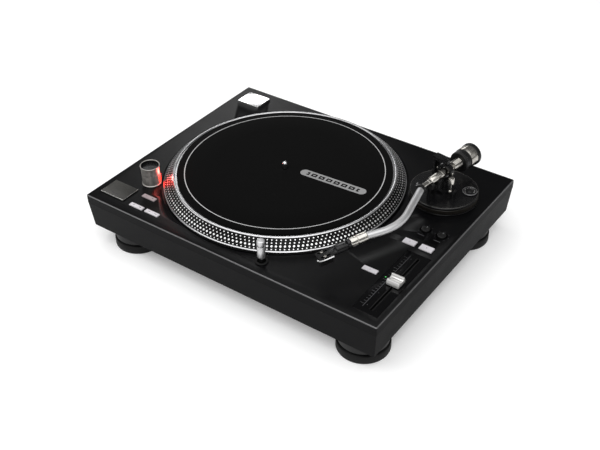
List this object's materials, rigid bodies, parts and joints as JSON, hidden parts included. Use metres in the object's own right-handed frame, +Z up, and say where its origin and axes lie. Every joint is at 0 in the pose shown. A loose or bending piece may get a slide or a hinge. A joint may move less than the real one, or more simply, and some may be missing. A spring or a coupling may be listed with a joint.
{
  "type": "direct-drive record player",
  "caption": "Black deck on damped feet with a dotted strobe platter, felt mat, S-shaped tonearm in a gimbal, pitch fader and start, speed and range buttons.",
  "frame": {"origin": "on the floor, under the middle of the deck", "axes": "+X to the right along the deck's long side, +Y to the rear, +Z up"},
  "size_m": [0.458, 0.3564, 0.1365],
  "materials": {
    "deck_paint": "fine-textured near-black metallic paint",
    "plinth_paint": "satin black paint",
    "black_rubber": "matt rubber",
    "platter_aluminium": "turned and polished, with a black dotted band",
    "felt": "pressed felt with a printed ring",
    "polished_steel": "polished",
    "chrome": "polished",
    "satin_tube": "bead-blasted and anodised",
    "brushed_button": "brushed with bright edges",
    "key_cap": "silver-white translucent",
    "dark_key_cap": "grey translucent",
    "black_metal": "gloss black anodised",
    "black_plastic": "fine-grained",
    "gloss_panel": "gloss black with a printed scale",
    "knob_metal": "turned",
    "fader_cap": "silver-white",
    "red_lens": "clear red",
    "copper_winding": "enamelled copper wire",
    "ferrite": "sintered",
    "bearing_brass": "turned",
    "circuit_board": "solder mask",
    "zinc_steel": "zinc-plated",
    "white_plastic": "moulded"
  },
  "bodies": {
    "chassis": {"top_plate": "deck_paint", "plinth": "plinth_paint", "base_plate": "black_rubber", "fader_panel": "gloss_panel", "motor_stator": "copper_winding", "bearing_housing": "bearing_brass", "main_board": "circuit_board", "power_supply": "zinc_steel", "fader_rail": "zinc_steel", "power_inlet": "black_plastic", "rear_panel": "black_plastic", "rca_socket_left": "bearing_brass", "rca_socket_right": "bearing_brass", "strobe_housing": "knob_metal", "strobe_window": "red_lens", "lamp_collar": "black_metal", "arm_flange": "black_metal"},
    "platter": {"platter": "platter_aluminium", "rotor_magnet": "ferrite", "spindle": "polished_steel"},
    "slipmat": {"slipmat": "felt"},
    "ground_terminal": {"ground_terminal": "chrome"},
    "power_knob": {"power_knob": "knob_metal"},
    "target_lamp": {"target_lamp": "chrome"},
    "pitch_fader": {"pitch_fader": "fader_cap"},
    "start_time_knob": {"start_time_knob": "black_plastic"},
    "brake_time_knob": {"brake_time_knob": "black_plastic"},
    "height_ring": {"height_ring": "black_metal"},
    "height_lock": {"height_lock": "black_plastic"},
    "arm_base": {"arm_base": "black_metal", "gimbal_yoke": "black_metal", "arm_rest": "black_plastic"},
    "lift_platform": {"lift_platform": "black_rubber"},
    "cue_lever": {"cue_lever": "chrome"},
    "antiskate_dial": {"antiskate_dial": "black_metal"},
    "arm_rest_clip": {"arm_rest_clip": "polished_steel"},
    "gimbal_ring": {"gimbal_ring": "black_metal"},
    "tonearm": {"arm_sleeve": "chrome", "arm_joint_ring": "black_plastic", "arm_tube": "satin_tube", "counterweight_shaft": "chrome"},
    "force_dial": {"force_dial": "black_plastic"},
    "counterweight": {"counterweight": "polished_steel"},
    "locking_collar": {"locking_collar": "chrome"},
    "headshell": {"headshell": "black_metal", "finger_lift": "polished_steel", "cartridge": "black_plastic"},
    "stylus": {"stylus": "white_plastic"},
    "start_stop_button": {"start_stop_button": "brushed_button"},
    "start_stop_button_rear": {"start_stop_button_rear": "brushed_button"},
    "speed_33_button": {"speed_33_button": "key_cap"},
    "speed_45_button": {"speed_45_button": "key_cap"},
    "speed_78_button": {"speed_78_button": "dark_key_cap"},
    "reset_button": {"reset_button": "key_cap"},
    "pitch_range_button": {"pitch_range_button": "key_cap"},
    "reverse_button": {"reverse_button": "key_cap"},
    "foot_front_left": {"foot_front_left": "black_rubber"},
    "foot_front_right": {"foot_front_right": "black_rubber"},
    "foot_rear_left": {"foot_rear_left": "black_rubber"},
    "foot_rear_right": {"foot_rear_right": "black_rubber"}
  },
  "joints": [
    {"name": "platter_spin", "type": "hinge", "parent": "chassis", "child": "platter", "pos_m": [-0.0312, 0.005, 0.09], "axis": [0, 0, 1], "continuous": true},
    {"name": "slipmat_slip", "type": "hinge", "parent": "platter", "child": "slipmat", "pos_m": [-0.0312, 0.005, 0.09], "axis": [0, 0, 1], "continuous": true},
    {"name": "start_stop_button_press", "type": "slide", "parent": "chassis", "child": "start_stop_button", "axis": [0, 0, -1], "range_m": [0, 0.0015], "stiffness_N_per_m": 500},
    {"name": "start_stop_button_rear_press", "type": "slide", "parent": "chassis", "child": "start_stop_button_rear", "axis": [0, 0, -1], "range_m": [0, 0.0015], "stiffness_N_per_m": 500},
    {"name": "speed_33_button_press", "type": "slide", "parent": "chassis", "child": "speed_33_button", "axis": [0, 0, -1], "range_m": [0, 0.0011], "stiffness_N_per_m": 350},
    {"name": "speed_45_button_press", "type": "slide", "parent": "chassis", "child": "speed_45_button", "axis": [0, 0, -1], "range_m": [0, 0.0011], "stiffness_N_per_m": 350},
    {"name": "speed_78_button_press", "type": "slide", "parent": "chassis", "child": "speed_78_button", "axis": [0, 0, -1], "range_m": [0, 0.0011], "stiffness_N_per_m": 350},
    {"name": "reset_button_press", "type": "slide", "parent": "chassis", "child": "reset_button", "axis": [0, 0, -1], "range_m": [0, 0.0011], "stiffness_N_per_m": 350},
    {"name": "pitch_range_button_press", "type": "slide", "parent": "chassis", "child": "pitch_range_button", "axis": [0, 0, -1], "range_m": [0, 0.0012], "stiffness_N_per_m": 350},
    {"name": "reverse_button_press", "type": "slide", "parent": "chassis", "child": "reverse_button", "axis": [0, 0, -1], "range_m": [0, 0.0012], "stiffness_N_per_m": 350},
    {"name": "power_turn", "type": "hinge", "parent": "chassis", "child": "power_knob", "pos_m": [-0.175, -0.107, 0.097], "axis": [0, 0, 1], "range_deg": [0, 50]},
    {"name": "target_lamp_press", "type": "slide", "parent": "chassis", "child": "target_lamp", "axis": [0, 0, -1], "range_m": [0, 0.029]},
    {"name": "pitch_slide", "type": "slide", "parent": "chassis", "child": "pitch_fader", "axis": [0, 1, 0], "range_m": [-0.05, 0.05]},
    {"name": "start_time_turn", "type": "hinge", "parent": "chassis", "child": "start_time_knob", "pos_m": [0.1847, 0.0123, 0.077], "axis": [0, 0, 1], "range_deg": [-135, 135]},
    {"name": "brake_time_turn", "type": "hinge", "parent": "chassis", "child": "brake_time_knob", "pos_m": [0.2078, 0.0121, 0.077], "axis": [0, 0, 1], "range_deg": [-135, 135]},
    {"name": "ground_nut_turn", "type": "hinge", "parent": "chassis", "child": "ground_terminal", "pos_m": [0.113, 0.168, 0.048], "axis": [0, 1, 0], "range_deg": [0, 360]},
    {"name": "foot_front_left_turn", "type": "hinge", "parent": "chassis", "child": "foot_front_left", "pos_m": [-0.176, -0.1405, 0.013], "axis": [0, 0, 1], "range_deg": [0, 720]},
    {"name": "foot_front_right_turn", "type": "hinge", "parent": "chassis", "child": "foot_front_right", "pos_m": [0.19, -0.1405, 0.013], "axis": [0, 0, 1], "range_deg": [0, 720]},
    {"name": "foot_rear_left_turn", "type": "hinge", "parent": "chassis", "child": "foot_rear_left", "pos_m": [-0.176, 0.12, 0.013], "axis": [0, 0, 1], "range_deg": [0, 720]},
    {"name": "foot_rear_right_turn", "type": "hinge", "parent": "chassis", "child": "foot_rear_right", "pos_m": [0.19, 0.12, 0.013], "axis": [0, 0, 1], "range_deg": [0, 720]},
    {"name": "height_ring_turn", "type": "hinge", "parent": "chassis", "child": "height_ring", "pos_m": [0.1676, 0.09, 0.085], "axis": [0, 0, 1], "range_deg": [0, 300]},
    {"name": "arm_height", "type": "slide", "parent": "chassis", "child": "arm_base", "axis": [0, 0, 1], "range_m": [0, 0.0061]},
    {"name": "height_lock_turn", "type": "hinge", "parent": "chassis", "child": "height_lock", "pos_m": [0.14537, 0.13767, 0.077], "axis": [0, 0, 1], "range_deg": [0, 60]},
    {"name": "cue_lever_turn", "type": "hinge", "parent": "arm_base", "child": "cue_lever", "pos_m": [0.18307, 0.07749, 0.097], "axis": [0.9882, -0.153, 0], "range_deg": [0, 50]},
    {"name": "lift_rise", "type": "slide", "parent": "arm_base", "child": "lift_platform", "axis": [0, 0, 1], "range_m": [0, 0.006]},
    {"name": "antiskate_turn", "type": "hinge", "parent": "arm_base", "child": "antiskate_dial", "pos_m": [0.19953, 0.10145, 0.089], "axis": [0, 0, 1], "range_deg": [0, 270]},
    {"name": "rest_clip_turn", "type": "hinge", "parent": "arm_base", "child": "arm_rest_clip", "pos_m": [0.15582, 0.05641, 0.1115], "axis": [0.153, 0.9882, 0], "range_deg": [0, 172]},
    {"name": "arm_swing", "type": "hinge", "parent": "arm_base", "child": "gimbal_ring", "pos_m": [0.1676, 0.09, 0.117], "axis": [0, 0, -1], "range_deg": [0, 46]},
    {"name": "arm_tilt", "type": "hinge", "parent": "gimbal_ring", "child": "tonearm", "pos_m": [0.1676, 0.09, 0.117], "axis": [-0.9882, 0.153, 0], "range_deg": [-1, 8]},
    {"name": "counterweight_turn", "type": "hinge", "parent": "force_dial", "child": "counterweight", "pos_m": [0.1676, 0.09, 0.117], "axis": [-0.153, -0.9882, 0], "range_deg": [-721, 1441]},
    {"name": "counterweight_travel", "type": "slide", "parent": "tonearm", "child": "force_dial", "axis": [-0.153, -0.9882, 0], "range_m": [-0.0044, 0.0088]},
    {"name": "collar_turn", "type": "hinge", "parent": "tonearm", "child": "locking_collar", "pos_m": [0.15494, -0.08732, 0.117], "axis": [-0.4492, -0.8892, -0.0872], "range_deg": [0, 90]},
    {"name": "headshell_pull", "type": "slide", "parent": "tonearm", "child": "headshell", "axis": [-0.4492, -0.8892, -0.0872], "range_m": [0, 0.022]},
    {"name": "stylus_pull", "type": "slide", "parent": "headshell", "child": "stylus", "axis": [-0.4492, -0.8892, -0.0872], "range_m": [0, 0.006]}
  ],
  "couplings": [
    {"joint": "arm_height", "follows": "height_ring_turn", "m_per_rad": 0.00115},
    {"joint": "cue_lever_turn", "follows": "lift_rise", "rad_per_m": 144.93},
    {"joint": "counterweight_turn", "follows": "counterweight_travel", "rad_per_m": 2857.1}
  ]
}
